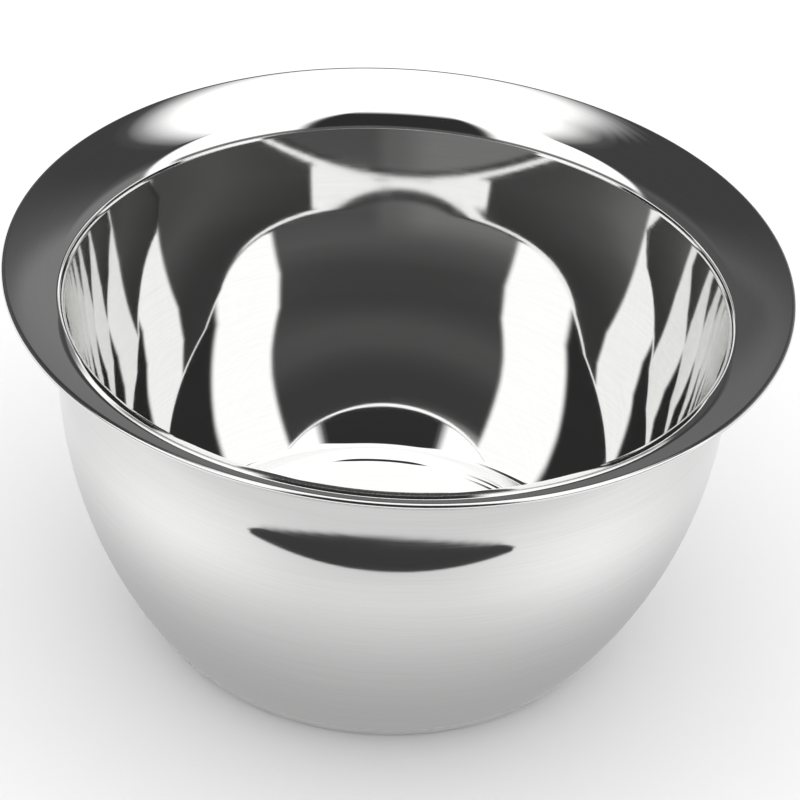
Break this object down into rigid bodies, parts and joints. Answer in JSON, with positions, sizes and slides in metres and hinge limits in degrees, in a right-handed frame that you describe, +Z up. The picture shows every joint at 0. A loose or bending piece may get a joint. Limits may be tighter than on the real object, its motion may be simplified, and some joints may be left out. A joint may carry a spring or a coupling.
{
  "type": "shaving bowl",
  "caption": "Round double-walled stainless steel shaving bowl with a flared brim, mirror-polished inside and out, standing on a flat base.",
  "frame": {"origin": "on the bowl's axis, in the plane of the base ring that it stands on", "axes": "+Z up along the axis of revolution, out of the bowl's mouth; the bowl is round, so +X and +Y are any two directions across it"},
  "size_m": [0.11, 0.11, 0.057],
  "materials": {
    "mirror_steel": "mirror-polished stainless steel with faint round polishing lines",
    "polished_steel": "polished stainless steel with fine horizontal polishing lines",
    "dressed_weld": "edge weld, ground round and polished"
  },
  "bodies": {
    "root": {"inner_bowl": "mirror_steel", "outer_shell": "polished_steel", "lip_weld": "dressed_weld"}
  },
  "joints": []
}
